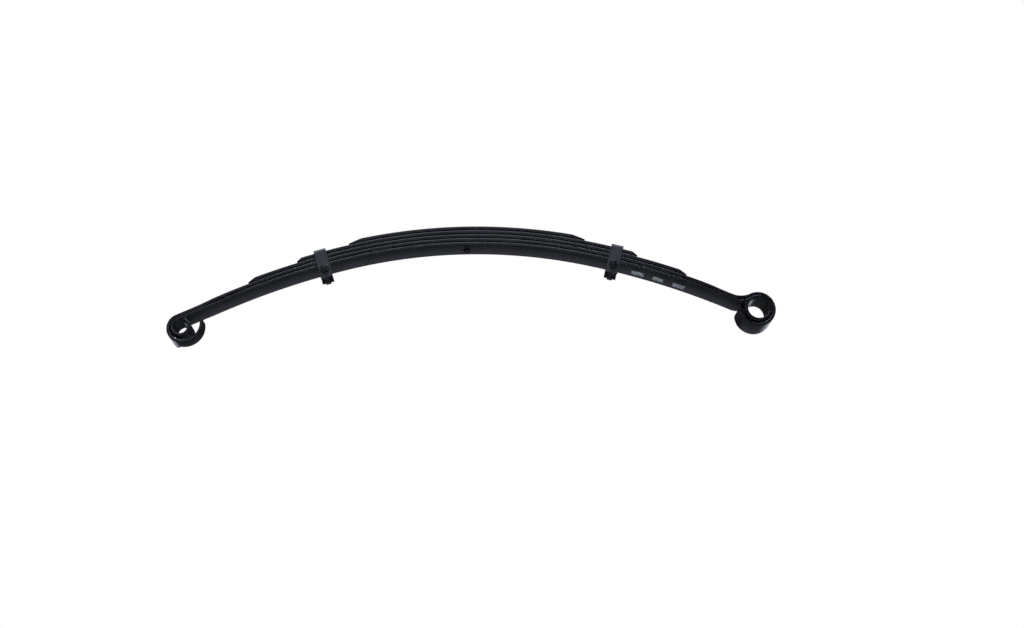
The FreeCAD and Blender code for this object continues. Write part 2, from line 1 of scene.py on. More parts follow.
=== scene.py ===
"""Looks of the multi-leaf spring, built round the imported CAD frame.

Shapes are worked out in millimetres in the CAD's own frame (X along the spring, Y across its
width, Z up through the stack) and scaled to metres when a mesh is made.
"""

import math

import bmesh
import bpy
from mathutils import Matrix, Vector


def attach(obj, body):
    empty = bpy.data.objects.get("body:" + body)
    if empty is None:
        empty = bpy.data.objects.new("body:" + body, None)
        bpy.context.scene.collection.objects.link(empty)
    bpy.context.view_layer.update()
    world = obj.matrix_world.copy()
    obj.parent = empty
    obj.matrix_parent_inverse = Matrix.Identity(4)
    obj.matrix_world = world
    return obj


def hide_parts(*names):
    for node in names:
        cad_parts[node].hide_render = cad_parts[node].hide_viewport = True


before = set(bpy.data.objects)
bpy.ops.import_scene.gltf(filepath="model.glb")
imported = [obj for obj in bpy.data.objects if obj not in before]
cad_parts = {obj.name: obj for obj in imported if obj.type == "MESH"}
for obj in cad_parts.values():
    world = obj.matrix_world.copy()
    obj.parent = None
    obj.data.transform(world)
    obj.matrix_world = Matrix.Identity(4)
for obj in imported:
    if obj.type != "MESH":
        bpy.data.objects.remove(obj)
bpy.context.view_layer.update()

MM = 0.001

# ---------------------------------------------------------------- dimensions, as in the CAD
CROWN = 1104.0  # radius of the main leaf's concave face over the middle
CROWN_ANGLE = 13.5  # either side of the centre bolt
FLANK = 1549.0  # the same face from there outwards
THICK = 6.5
LINER = 2.5
PITCH = THICK + LINER
HALF = THICK / 2
LEAF_WIDTH = 60.0
LINER_WIDTH = 56.0
WRAP_GAP = 0.4  # second leaf to main leaf where they lie together
TIP_GAP = 0.9  # rolled tip to the underside of its own leaf
SHORT_LEAVES = {  # place in the stack, half length, how far the convex face stops short
    "third": (2, 465.0, 15.0),
    "fourth": (3, 363.0, 10.0),
    "fifth": (4, 253.0, 28.0),
}
LINER_SETBACK = 12.0

# small eye, at the end of a straight run
SMALL_BORE = 14.5
SMALL_ANGLE = 23.37  # of the arch, where the straight run starts
SMALL_STRAIGHT = 108.0
SMALL_WRAP_CLOSE = 30.0  # degrees that the second leaf lies on the eye
SMALL_WRAP_RADIUS = 29.3  # centre line, where it opens from the eye
SMALL_WRAP_OPEN = 118.5
HOOK_RADIUS = 38.7  # centre line of the upturned end
HOOK_TURN = 110.5
HOOK_CUT = ((-13.0, 30.0), (-2.0, 5.0))  # its ends: X from the small eye, Y of the far edge

# large eye, after a reverse bend
LARGE_BORE = 22.0
LARGE_ANGLE = 25.44
LARGE_BEND = 35.0
LARGE_TURN = 58.6
LARGE_WRAP_BEND = 50.0  # centre line of the second leaf's own reverse bend
LARGE_WRAP_LEAVE = 32.0  # polar angle where it opens from the eye
LARGE_WRAP_RADIUS = 35.4
LARGE_WRAP_OPEN = 216.0

# nominal turns of the rolled ends, which are trimmed to stand clear of their own leaf
SMALL_ROLL = 330.0
LARGE_ROLL = 330.0

# where the second leaf comes down onto the main leaf
JOGGLE = 450.0
SMALL_CONTACT = 40.0  # straight contact between the joggle and the small eye
LARGE_CONTACT = 24.7  # of the arch, where contact starts near the large eye

# clips
CLIP_REACH = {"left": 305.0, "right": 312.0}  # along X, on the concave face
CLIP_STACK = 4 * THICK + 3 * LINER
CLIP_THICK = 5.0
CLIP_WIDTH = 26.0
CLIP_BEND = 3.3  # centre line
CLIP_SIDE_GAP = 0.5
CLIP_TOP_GAP = 0.3
LEG_OUTSIDE = LEAF_WIDTH / 2 + CLIP_SIDE_GAP + CLIP_THICK
WEB_INSIDE = CLIP_STACK + CLIP_TOP_GAP
NEAR_DROP = 27.0  # below the main leaf's concave face, on the nut's side
FAR_DROP = 16.0
BOLT_DROP = 8.4
BOLT_RADIUS = 5.0
BOLT_PROUD = 3.0
BORE_RADIUS = 5.06  # tubes and nuts, round their bolts
CLIP_FLATS = 17.0
HEAD_HEIGHT = 6.4
NUT_HEIGHT = 8.0
TUBE_RADIUS = 7.0
TUBE_LENGTH = 60.0
RIVET_RADIUS = 4.0
RIVET_HEAD = (7.5, 4.0)  # radius, height
RIVET_FOOT = (6.5, 2.5)  # radius, depth

# centre bolt
STACK_TOP = 5 * THICK + 4 * LINER
CENTRE_HEAD_RADIUS = 7.5
CENTRE_HEAD_HEIGHT = 6.0
CENTRE_FLATS = 16.0
CENTRE_BOLT_PROUD = 1.5
CENTRE_BOLT_END = STACK_TOP + NUT_HEIGHT + CENTRE_BOLT_PROUD

# how finely outlines are stepped
STEP_LENGTH = 9.0
STEP_ANGLE = 4.0


# ---------------------------------------------------------------- plane geometry


def polar(centre, radius, degrees):
    """The point at this radius and polar angle about a centre."""
    angle = math.radians(degrees)
    return (centre[0] + radius * math.cos(angle), centre[1] + radius * math.sin(angle))


class Line:
    """A straight run of a strip's centre line."""

    def __init__(self, start, end):
        self.start = start
        self.end = end
        self.length = math.dist(start, end)

    def steps(self):
        return max(1, math.ceil(self.length / STEP_LENGTH))

    def face(self, left, steps, *_):
        """Points down the line moved to its left. It can't be trimmed as an arc can."""
        dx = (self.end[0] - self.start[0]) / self.length
        dy = (self.end[1] - self.start[1]) / self.length
        points = []
        for i in range(steps + 1):
            along = self.length * i / steps
            points.append(
                (
                    self.start[0] + dx * along - dy * left,
                    self.start[1] + dy * along + dx * left,
                )
            )
        return points


class Arc:
    """A round run of a strip's centre line, between two polar angles in degrees."""

    def __init__(self, centre, radius, first, last):
        self.centre = centre
        self.radius = radius
        self.first = first
        self.last = last

    def steps(self):
        turn = abs(self.last - self.first)
        length = math.radians(turn) * self.radius
        return max(1, math.ceil(turn / STEP_ANGLE), math.ceil(length / STEP_LENGTH))

    def face(self, left, steps, first=None, last=None):
        """Points round the arc moved to its left, with another angle at either end if given."""
        start = self.first if first is None else first
        stop = self.last if last is None else last
        side = -1 if self.last > self.first else 1
        radius = self.radius + side * left
        angles = [start + (stop - start) * i / steps for i in range(steps + 1)]
        return [polar(self.centre, radius, angle) for angle in angles]


def faces_of(runs, thickness, left_trims=(None, None), right_trims=(None, None)):
    """Matching points down the left and the right face of a strip."""
    sides = []
    for left, trims in ((thickness / 2, left_trims), (-thickness / 2, right_trims)):
        points = []
        for index, run in enumerate(runs):
            first = trims[0] if index == 0 else None
            last = trims[1] if index == len(runs) - 1 else None
            part = run.face(left, run.steps(), first, last)
            points.extend(part if index == 0 else part[1:])
        sides.append(points)
    return sides


# ---------------------------------------------------------------- the arch
CROWN_CENTRE = (0.0, -CROWN)
LEFT_CENTRE = polar(CROWN_CENTRE, CROWN - FLANK, 90 + CROWN_ANGLE)
RIGHT_CENTRE = polar(CROWN_CENTRE, CROWN - FLANK, 90 - CROWN_ANGLE)


def arch(height, left_slope, right_slope):
    """The arch's runs at a height above the main leaf's concave face."""
    left = min(left_slope, CROWN_ANGLE)
    right = min(right_slope, CROWN_ANGLE)
    runs = [Arc(CROWN_CENTRE, CROWN + height, 90 + left, 90 - right)]
    if left_slope > left:
        runs.insert(0, Arc(LEFT_CENTRE, FLANK + height, 90 + left_slope, 90 + left))
    if right_slope > right:
        runs.append(Arc(RIGHT_CENTRE, FLANK + height, 90 - right, 90 - right_slope))
    return runs


def slope_at(x, height):
    """The arch's slope in degrees this far along X from the middle."""
    if x <= (CROWN + height) * math.sin(math.radians(CROWN_ANGLE)):
        return math.degrees(math.asin(x / (CROWN + height)))
    return math.degrees(math.asin((x + LEFT_CENTRE[0]) / (FLANK + height)))


SMALL_POLAR = 90 + SMALL_ANGLE
LARGE_POLAR = 90 - LARGE_ANGLE
SMALL_ALONG = polar((0, 0), 1, 180 + SMALL_ANGLE)
SMALL_INWARD = polar((0, 0), 1, 270 + SMALL_ANGLE)


def beside_small_run(distance, height):
    """A point along the straight run to the small eye, at a height above its concave face."""
    start = polar(LEFT_CENTRE, FLANK, SMALL_POLAR)
    return (
        start[0] + SMALL_ALONG[0] * distance - SMALL_INWARD[0] * height,
        start[1] + SMALL_ALONG[1] * distance - SMALL_INWARD[1] * height,
    )


SMALL_EYE = beside_small_run(SMALL_STRAIGHT, -SMALL_BORE)
BEND_CENTRE = polar(RIGHT_CENTRE, FLANK + HALF + LARGE_BEND, LARGE_POLAR)
BEND_FIRST = LARGE_POLAR + 180
BEND_LAST = BEND_FIRST + LARGE_TURN
LARGE_RING = LARGE_BORE + HALF
LARGE_EYE = polar(BEND_CENTRE, LARGE_BEND + LARGE_RING, BEND_LAST)
LARGE_FIRST = BEND_LAST - 180


def main_leaf_faces():
    """The main leaf, from the tip rolled into the small eye to the tip in the large one."""

    def beside_line(radius):
        """How far round the small eye its tip stops short of the straight run."""
        return math.degrees(math.acos((SMALL_BORE - TIP_GAP) / radius))

    def beside_bend(radius):
        """Where the large eye's tip stops short of the reverse bend."""
        reach = LARGE_BEND + HALF + TIP_GAP
        apart = LARGE_BEND + LARGE_RING
        share = (apart**2 + radius**2 - reach**2) / (2 * apart * radius)
        return LARGE_FIRST + math.degrees(math.acos(share)) - 360

    roll_end = SMALL_POLAR + 360
    runs = [
        Arc(SMALL_EYE, SMALL_BORE + HALF, SMALL_POLAR + SMALL_ROLL, SMALL_POLAR),
        Line(beside_small_run(SMALL_STRAIGHT, HALF), beside_small_run(0, HALF)),
        *arch(HALF, SMALL_ANGLE, LARGE_ANGLE),
        Arc(BEND_CENTRE, LARGE_BEND, BEND_FIRST, BEND_LAST),
        Arc(LARGE_EYE, LARGE_RING, LARGE_FIRST, LARGE_FIRST - LARGE_ROLL),
    ]
    outer = (roll_end - beside_line(SMALL_BORE + THICK), beside_bend(LARGE_BORE + THICK))
    inner = (roll_end - beside_line(SMALL_BORE), beside_bend(LARGE_BORE))
    return faces_of(runs, THICK, outer, inner)


def joggle_on_flank(outer, inner, inner_slope):
    """Two equal arcs from a circle about the right flank's centre down onto a smaller one."""
    inner_polar = 90 - inner_slope
    a = outer - JOGGLE
    b = inner + JOGGLE
    spread = math.acos((a * a + b * b - 4 * JOGGLE * JOGGLE) / (2 * a * b))
    outer_polar = inner_polar + math.degrees(spread)
    first_centre = polar(RIGHT_CENTRE, a, outer_polar)
    second_centre = polar(RIGHT_CENTRE, b, inner_polar)
    step = (second_centre[0] - first_centre[0], second_centre[1] - first_centre[1])
    towards = math.degrees(math.atan2(step[1], step[0]))
    arcs = [
        Arc(first_centre, JOGGLE, outer_polar, towards),
        Arc(second_centre, JOGGLE, towards + 180, inner_polar + 180),
    ]
    return 90 - outer_polar, arcs


def joggle_on_run(contact_end, drop):
    """Two equal arcs that lead up from the contact line to the parallel line above it."""
    turn = math.degrees(math.acos(1 - drop / (2 * JOGGLE)))
    length = 2 * JOGGLE * math.sin(math.radians(turn))
    touch = WRAP_GAP + THICK + HALF
    lower = beside_small_run(contact_end, touch + JOGGLE)
    upper = beside_small_run(contact_end - length, touch + drop - JOGGLE)
    arcs = [
        Arc(lower, JOGGLE, SMALL_POLAR + 180, SMALL_POLAR + 180 + turn),
        Arc(upper, JOGGLE, SMALL_POLAR + turn, SMALL_POLAR),
    ]
    return contact_end - length, arcs


def bearing(start, end):
    """Polar angle in degrees from one point to another."""
    return math.degrees(math.atan2(end[1] - start[1], end[0] - start[0]))


def between_circles(flank_reach, eye_reach):
    """The point above the leaf at these distances from the flank's centre and the large eye."""
    apart = math.dist(RIGHT_CENTRE, LARGE_EYE)
    share = (flank_reach**2 + apart**2 - eye_reach**2) / (2 * flank_reach * apart)
    lean = math.degrees(math.acos(share))
    return polar(RIGHT_CENTRE, flank_reach, bearing(RIGHT_CENTRE, LARGE_EYE) + lean)


def second_leaf_faces():
    """The second leaf, from the hook at the small eye to the wrap round the large one, and the
    number of its rows that lie in the hook."""
    spaced = FLANK + PITCH + HALF
    touching = FLANK + THICK + WRAP_GAP + HALF
    touch = THICK + WRAP_GAP + HALF

    wrap = SMALL_BORE + THICK + WRAP_GAP + HALF
    leave = SMALL_POLAR + SMALL_WRAP_CLOSE
    opening_centre = polar(SMALL_EYE, wrap - SMALL_WRAP_RADIUS, leave)
    hook_first = leave + SMALL_WRAP_OPEN
    hook_centre = polar(opening_centre, SMALL_WRAP_RADIUS - HOOK_RADIUS, hook_first)
    contact_end = SMALL_STRAIGHT - SMALL_CONTACT
    joggle_start, small_joggle = joggle_on_run(contact_end, LINER - WRAP_GAP)

    large_slope, large_joggle = joggle_on_flank(spaced, touching, LARGE_CONTACT)
    large_wrap = LARGE_RING + THICK + WRAP_GAP
    bend_centre = between_circles(touching + LARGE_WRAP_BEND, large_wrap + LARGE_WRAP_BEND)
    bend_first = bearing(bend_centre, RIGHT_CENTRE) + 360
    bend_last = bearing(bend_centre, LARGE_EYE) + 360
    large_centre = polar(LARGE_EYE, large_wrap - LARGE_WRAP_RADIUS, LARGE_WRAP_LEAVE)
    large_end = LARGE_WRAP_LEAVE - LARGE_WRAP_OPEN

    runs = [
        Arc(hook_centre, HOOK_RADIUS, hook_first + HOOK_TURN, hook_first),
        Arc(opening_centre, SMALL_WRAP_RADIUS, hook_first, leave),
        Arc(SMALL_EYE, wrap, leave, SMALL_POLAR),
        Line(beside_small_run(SMALL_STRAIGHT, touch), beside_small_run(contact_end, touch)),
        *small_joggle,
        Line(beside_small_run(joggle_start, PITCH + HALF), beside_small_run(0, PITCH + HALF)),
        *arch(PITCH + HALF, SMALL_ANGLE, large_slope),
        *large_joggle,
        Arc(RIGHT_CENTRE, touching, 90 - LARGE_CONTACT, bend_first - 180),
        Arc(bend_centre, LARGE_WRAP_BEND, bend_first, bend_last),
        Arc(LARGE_EYE, large_wrap, bend_last - 180, LARGE_WRAP_LEAVE),
        Arc(large_centre, LARGE_WRAP_RADIUS, LARGE_WRAP_LEAVE, large_end),
    ]
    return faces_of(runs, THICK), runs[0].steps() + runs[1].steps()


def short_leaf_faces(place, reach, bevel):
    """A leaf with straight bevelled ends, at a place in the stack."""
    low = place * PITCH
    foot = slope_at(reach, low)
    top = slope_at(reach - bevel, low + THICK)
    return faces_of(arch(low + HALF, foot, foot), THICK, left_trims=(90 + top, 90 - top))


def liner_faces(place, reach):
    """A liner, under the leaf at a place in the stack."""
    middle = place * PITCH - LINER / 2
    slope = slope_at(reach, middle)
    return faces_of(arch(middle, slope, slope), LINER)


# ---------------------------------------------------------------- materials


class Shader:
    """A material's node tree, built one node at a time."""

    def __init__(self, name):
        self.material = bpy.data.materials.new(name)
        self.material.use_nodes = True
        self.tree = self.material.node_tree
        self.surface = self.tree.nodes["Principled BSDF"]

    def add(self, kind, inputs, **settings):
        node = self.tree.nodes.new(kind)
        for key, value in settings.items():
            setattr(node, key, value)
        self.fill(node, inputs)
        return node

    def fill(self, node, inputs):
        for key, value in inputs.items():
            if isinstance(value, bpy.types.NodeSocket):
                self.tree.links.new(value, node.inputs[key])
            else:
                node.inputs[key].default_value = value

    def object_place(self):
        return self.tree.nodes.new("ShaderNodeTexCoord").outputs["Object"]

    def xyz(self):
        """X, Y and Z in the CAD's frame, in metres."""
        return self.add("ShaderNodeSeparateXYZ", {0: self.object_place()}).outputs

    def upness(self):
        """1 where a face looks straight up and -1 where it looks straight down."""
        normal = self.tree.nodes.new("ShaderNodeNewGeometry").outputs["True Normal"]
        return self.add("ShaderNodeSeparateXYZ", {0: normal}).outputs[2]

    def noise(self, scale, detail, stretch=(1, 1, 1)):
        mapping = self.add("ShaderNodeMapping", {"Vector": self.object_place(), "Scale": stretch})
        inputs = {"Vector": mapping.outputs[0], "Scale": scale, "Detail": detail, "Roughness": 0.5}
        return self.add("ShaderNodeTexNoise", inputs).outputs["Fac"]

    def remap(self, value, low, high, out_low=0.0, out_high=1.0):
        inputs = {"Value": value, "From Min": low, "From Max": high, "To Min": out_low, "To Max": out_high}
        return self.add("ShaderNodeMapRange", inputs).outputs["Result"]

    def math(self, operation, a, b):
        return self.add("ShaderNodeMath", {0: a, 1: b}, operation=operation).outputs[0]

    def attribute(self, name):
        return self.add("ShaderNodeAttribute", {}, attribute_name=name).outputs["Fac"]

    def bump(self, height, distance, before=None):
        inputs = {"Height": height, "Distance": distance, "Strength": 1.0}
        if before is not None:
            inputs["Normal"] = before
        return self.add("ShaderNodeBump", inputs).outputs["Normal"]

    def mix(self, share, a, b):
        """Goes from one colour to another, each a plain tuple or a socket, as the share grows."""
        node = self.tree.nodes.new("ShaderNodeMix")
        node.data_type = "RGBA"
        factor = next(s for s in node.inputs if s.type == "VALUE" and s.name == "Factor")
        self.tree.links.new(share, factor)
        colours = [s for s in node.inputs if s.type == "RGBA"]
        for socket, value in zip(colours, (a, b)):
            if isinstance(value, bpy.types.NodeSocket):
                self.tree.links.new(value, socket)
            else:
                socket.default_value = (*value, 1.0)
        return next(s for s in node.outputs if s.type == "RGBA")


# noise scales, in waves a metre
BLOTCHES = 16
STREAKS = 60
RUBBING = 320
GLOSS = 45
WAVES = 45
PEEL = 520

STREAK_STRETCH = (0.12, 1, 1)  # long marks of rolling, down the spring
STREAK_SHARE = 0.04
# share of the painted sheen, a painted reflection on faces that look down
PAINTED_SHEEN_SHARE = 0.6
WAVE_DEPTH = 0.0001

# colour of the painted sheen: a painted reflection, lighter, on faces that look down
LEAF_PAINTED_SHEEN = (0.052, 0.056, 0.070)
DAB_COLOUR = (0.30, 0.33, 0.38)
DAB_ROUGHNESS = 0.6


def black_paint(name, dark, light, worn, roughness, peel_depth, painted_sheen=LEAF_PAINTED_SHEEN, marks=None):
    """Black enamel over rolled steel: blotches, faint streaks, a painted sheen (a painted reflection) on
    what faces down that grows towards the far side, worn edges with painted glints, slow waves and orange
    peel."""
    shader = Shader(name)
    blotches = shader.remap(shader.noise(BLOTCHES, 4), 0.35, 0.65)
    colour = shader.mix(blotches, dark, light)

    streaks = shader.remap(shader.noise(STREAKS, 3, STREAK_STRETCH), 0.52, 0.75)
    colour = shader.mix(shader.math("MULTIPLY", streaks, STREAK_SHARE), colour, worn)

    # painted reflection: faces that look down get lighter towards the far side, as a sheen
    farness = shader.remap(shader.xyz()[1], -0.025, 0.032)
    under = shader.remap(shader.upness(), -0.6, -0.8)
    painted_sheen_mask = shader.math("MULTIPLY", farness, under)
    colour = shader.mix(shader.math("MULTIPLY", painted_sheen_mask, PAINTED_SHEEN_SHARE), colour, painted_sheen)

    # worn edges, partly real wear and partly painted glints: corners turn towards the worn colour in
    # sparse patches
    patches = shader.remap(shader.noise(RUBBING, 3), 0.60, 0.85)
    wear_and_glints = shader.math("MULTIPLY", shader.attribute("edge_wear_and_glints"), patches)
    colour = shader.mix(wear_and_glints, colour, worn)

    rough = shader.remap(shader.noise(GLOSS, 4), 0.3, 0.7, *roughness)
    if marks:
        cover = marks(shader)
        colour = shader.mix(cover, colour, DAB_COLOUR)
        rough = shader.math("MAXIMUM", rough, shader.math("MULTIPLY", cover, DAB_ROUGHNESS))

    waves = shader.bump(shader.noise(WAVES, 1), WAVE_DEPTH)
    peel = shader.bump(shader.noise(PEEL, 2), peel_depth, waves)
    shader.fill(shader.surface, {"Base Color": colour, "Roughness": rough, "Normal": peel})
    return shader.material


# three dabs of paint, in metres in the CAD's frame
DABS_ALONG = ((0.352, 0.379), (0.397, 0.419), (0.438, 0.464))
DABS_ACROSS = ((-0.006, -0.004), (0.016, 0.014))  # where each side fades in
DAB_FADE = 0.002
DAB_WANDER = 0.0015  # how far their outline strays
DAB_SLOPE = 0.3  # about the flank's own slope there
DAB_HEIGHTS = (0.075, 0.05)  # over that slope, where they fade in from the leaves above


def paint_dabs(shader):
    """Three worn, plain dabs of pale paint across the concave face of the main leaf."""
    x, y, z = shader.xyz()
    edge = shader.remap(shader.noise(60, 2), 0.3, 0.7, -DAB_WANDER, DAB_WANDER)
    x = shader.math("ADD", x, edge)
    y = shader.math("ADD", y, edge)
    cover = None
    for start, end in DABS_ALONG:
        fade_in = shader.remap(x, start, start + DAB_FADE)
        dab = shader.math("MULTIPLY", fade_in, shader.remap(x, end, end - DAB_FADE))
        cover = dab if cover is None else shader.math("MAXIMUM", cover, dab)
    for bare, painted in DABS_ACROSS:
        cover = shader.math("MULTIPLY", cover, shader.remap(y, bare, painted))
    cover = shader.math("MULTIPLY", cover, shader.remap(shader.upness(), -0.5, -0.7))
    height = shader.math("ADD", z, shader.math("MULTIPLY", x, DAB_SLOPE))
    low_down = shader.remap(height, *DAB_HEIGHTS)
    worn = shader.remap(shader.noise(90, 2), 0.38, 0.62, 0.35, 0.75)
    return shader.math("MULTIPLY", cover, shader.math("MULTIPLY", low_down, worn))


def liner_material():
    """Matt black plastic with a fine grain, darker than the leaves' paint: partly its own black and partly
    painted shade for the grooves between the leaves.
    """
    shader = Shader("liner_black_plastic")
    colour = shader.mix(shader.noise(80, 3), (0.0012, 0.0012, 0.0016), (0.0025, 0.0026, 0.0032))
    grain = shader.bump(shader.noise(900, 3), 0.0001)
    rough = shader.remap(shader.noise(60, 3), 0.3, 0.7, 0.6, 0.8)
    shader.fill(
        shader.surface,
        {"Base Color": colour, "Roughness": rough, "Normal": grain, "Specular IOR Level": 0.2},
    )
    return shader.material


MATERIALS = {  # by the record's material slot
    "leaf_paint": black_paint(
        "leaf_black_enamel",
        dark=(0.0020, 0.0023, 0.0036),
        light=(0.0040, 0.0045, 0.0066),
        worn=(0.055, 0.058, 0.066),
        roughness=(0.18, 0.25),
        peel_depth=0.000004,
        marks=paint_dabs,
    ),
    "clip_paint": black_paint(
        "clip_black_enamel",
        dark=(0.010, 0.011, 0.0145),
        light=(0.016, 0.0175, 0.022),
        worn=(0.07, 0.073, 0.08),
        roughness=(0.28, 0.38),
        peel_depth=0.000008,
    ),
    "fastener_paint": black_paint(
        "fastener_black_enamel",
        dark=(0.0020, 0.0023, 0.0032),
        light=(0.0045, 0.005, 0.0068),
        # pale worn colour: wear, and painted glints on the rims of heads and nuts
        worn=(0.16, 0.17, 0.19),
        roughness=(0.14, 0.22),
        peel_depth=0.000004,
        # a faint painted sheen, a painted reflection on faces that look down
        painted_sheen=(0.004, 0.0045, 0.006),
    ),
    "liner_plastic": liner_material(),
}

# ---------------------------------------------------------------- meshes
CORNER_STEPS = 4
FACE_SUPPORT = 0.06  # share of the half width, from a corner to the face's first row of points
BEVEL_ANGLE = 40.0
BEVEL_SEGMENTS = 3


def make_piece(node, vertices, faces, edge_weights, body, slot, bevel=0.0):
    """Makes a piece from millimetre vertices and hands it to the frame in the node's place."""
    mesh = bpy.data.meshes.new(f"{node}_look")
    mesh.from_pydata([Vector(v) * MM for v in vertices], [], faces)
    # edge weight: where wear and painted glints go
    weights = mesh.attributes.new("edge_wear_and_glints", "FLOAT", "POINT")
    weights.data.foreach_set("value", edge_weights)
    work = bmesh.new()
    work.from_mesh(mesh)
    bmesh.ops.recalc_face_normals(work, faces=work.faces)
    work.to_mesh(mesh)
    work.free()
    mesh.polygons.foreach_set("use_smooth", [True] * len(mesh.polygons))
    mesh.materials.append(MATERIALS[slot])
    piece = bpy.data.objects.new(f"{node}_look", mesh)
    bpy.context.scene.collection.objects.link(piece)
    if bevel:
        modifier = piece.modifiers.new("end_edges", "BEVEL")
        modifier.limit_method = "ANGLE"
        modifier.angle_limit = math.radians(BEVEL_ANGLE)
        modifier.width = bevel * MM
        modifier.segments = BEVEL_SEGMENTS
    normals = piece.modifiers.new("even_shading", "WEIGHTED_NORMAL")
    normals.keep_sharp = False
    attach(piece, body)
    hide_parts(node)


def section(thickness, corner, bulge, across):
    """Outline of a strip's cross-section, as (share of the thickness, share of the inner half
    width, distance beyond it, edge weight). Its corners are rounded and its sides bulge."""
    points = []
    for face, sign in ((0, 1), (1, -1)):
        shares = [-1 + 2 * i / across for i in range(1, across)]
        shares = [-1 + FACE_SUPPORT, *shares, 1 - FACE_SUPPORT]
        points.extend((face, sign * share, 0.0, 0.0) for share in shares)
        rounded = []
        for i in range(CORNER_STEPS + 1):
            turn = math.radians(90 * i / CORNER_STEPS)
            depth = corner * (1 - math.cos(turn)) / thickness
            rounded.append((depth, sign * (corner - bulge) * math.sin(turn)))
        points.extend((abs(face - depth), sign, beyond, 1.0) for depth, beyond in rounded)
        points.append((0.5, sign, sign * corner, 0.3))
        rounded.reverse()
        points.extend((abs(1 - face - depth), sign, beyond, 1.0) for depth, beyond in rounded)
    return points


def along_leaf(u, v, w):
    return (u, w, v)


def even_sides(faces, width):
    """The two sides of a strip that is as wide all along."""
    return [(-width / 2, width / 2)] * len(faces[0])


def strip(node, faces, sides, thickness, slot, corner=1.2, bulge=0.15, across=8, bevel=0.7,
          place=along_leaf):
    """A rolled strip swept between its two faces, from side to side of each of their rows."""
    outline = section(thickness, corner, bulge, across)
    vertices = []
    for outer, inner, (low, high) in zip(*faces, sides):
        middle = (low + high) / 2
        half = (high - low) / 2
        for share, side, beyond, _ in outline:
            u = inner[0] + (outer[0] - inner[0]) * share
            v = inner[1] + (outer[1] - inner[1]) * share
            vertices.append(place(u, v, middle + side * (half - corner) + beyond))
    count = len(outline)
    rows = len(sides)
    polygons = []
    for a in range(0, (rows - 1) * count, count):
        for i in range(count):
            j = (i + 1) % count
            polygons.append((a + i, a + j, a + count + j, a + count + i))
    last = (rows - 1) * count
    polygons.append(tuple(range(count - 1, -1, -1)))
    polygons.append(tuple(range(last, last + count)))
    weights = [weight for *_, weight in outline] * rows
    make_piece(node, vertices, polygons, weights, "leaf_pack", slot, bevel)


# ---------------------------------------------------------------- leaves and liners


def second_leaf_sides(faces, hook_rows):
    """The second leaf's sides. The far one is cut back along the hook."""
    (cut_start, cut_wide), (cut_end, cut_narrow) = HOOK_CUT
    sides = []
    for row, (outer, inner) in enumerate(zip(*faces)):
        middle = (outer[0] + inner[0]) / 2 - SMALL_EYE[0]
        share = 0
        if row <= hook_rows:
            share = min(1, max(0, (middle - cut_start) / (cut_end - cut_start)))
        sides.append((-LEAF_WIDTH / 2, cut_wide + (cut_narrow - cut_wide) * share))
    return sides


main_faces = main_leaf_faces()
strip("main_leaf", main_faces, even_sides(main_faces, LEAF_WIDTH), THICK, "leaf_paint")

second_faces, rows_in_hook = second_leaf_faces()
second_sides = second_leaf_sides(second_faces, rows_in_hook)
strip("second_leaf", second_faces, second_sides, THICK, "leaf_paint")

for name, (place_in_stack, half_length, end_bevel) in SHORT_LEAVES.items():
    leaf_faces = short_leaf_faces(place_in_stack, half_length, end_bevel)
    strip(f"{name}_leaf", leaf_faces, even_sides(leaf_faces, LEAF_WIDTH), THICK, "leaf_paint")

LINERS = {  # place in the stack, half length
    "first": (1, SHORT_LEAVES["third"][1] + LINER_SETBACK),
    "second": (2, SHORT_LEAVES["third"][1] - LINER_SETBACK),
    "third": (3, SHORT_LEAVES["fourth"][1] - LINER_SETBACK),
    "fourth": (4, SHORT_LEAVES["fifth"][1] - LINER_SETBACK),
}
for name, (place_in_stack, half_length) in LINERS.items():
    thin_faces = liner_faces(place_in_stack, half_length)
    strip(f"{name}_liner", thin_faces, even_sides(thin_faces, LINER_WIDTH), LINER,
          "liner_plastic", corner=0.4, bulge=0.1, bevel=0.2)

# ---------------------------------------------------------------- fasteners
TURN_SEGMENTS = 48
THREAD_PITCH = 1.5
THREAD_DEPTH = 0.5
THREAD_STEP = 0.25  # between the rings of a thread
THREAD_CHAMFER = 0.8
CORNER_DEPTHS = (0.0, 0.35, 0.7, 1.1, 1.6)  # rings that round a hexagon's turned-off corners
CORNER_SPREAD = 1.7  # how fast those corners widen with depth
HEAD_CROWN = 0.6  # how far inside the flats a head's end is turned off
NUT_CROWN = 0.5
NUT_EDGE = 0.5  # chamfers of the bores
TUBE_EDGE = 0.4
DOME_STEPS = 8


def turned(node, rings, matrix, body="leaf_pack", closed=False, shape=None):
    """A turned piece from (radius, height, edge weight) rings about its own Z axis. The shape
    function may change a ring's radius with the angle. If closed, the last ring joins the
    first."""
    vertices = []
    weights = []
    starts = []
    for radius, height, weight in rings:
        starts.append(len(vertices))
        if radius == 0:
            vertices.append(matrix @ Vector((0, 0, height)))
            weights.append(weight)
            continue
        for i in range(TURN_SEGMENTS):
            angle = 2 * math.pi * i / TURN_SEGMENTS
            reach = shape(angle, radius, height) if shape else radius
            vertices.append(matrix @ Vector((reach * math.cos(angle), reach * math.sin(angle), height)))
            weights.append(weight)
    pairs = [(i, i + 1) for i in range(len(rings) - 1)]
    if closed:
        pairs.append((len(rings) - 1, 0))
    polygons = []
    for low, high in pairs:
        a, b = starts[low], starts[high]
        for i in range(TURN_SEGMENTS):
            j = (i + 1) % TURN_SEGMENTS
            if rings[low][0] == 0:
                polygons.append((a, b + j, b + i))
            elif rings[high][0] == 0:
                polygons.append((a + i, a + j, b))
            else:
                polygons.append((a + i, a + j, b + j, b + i))
    make_piece(node, vertices, polygons, weights, body, "fastener_paint")


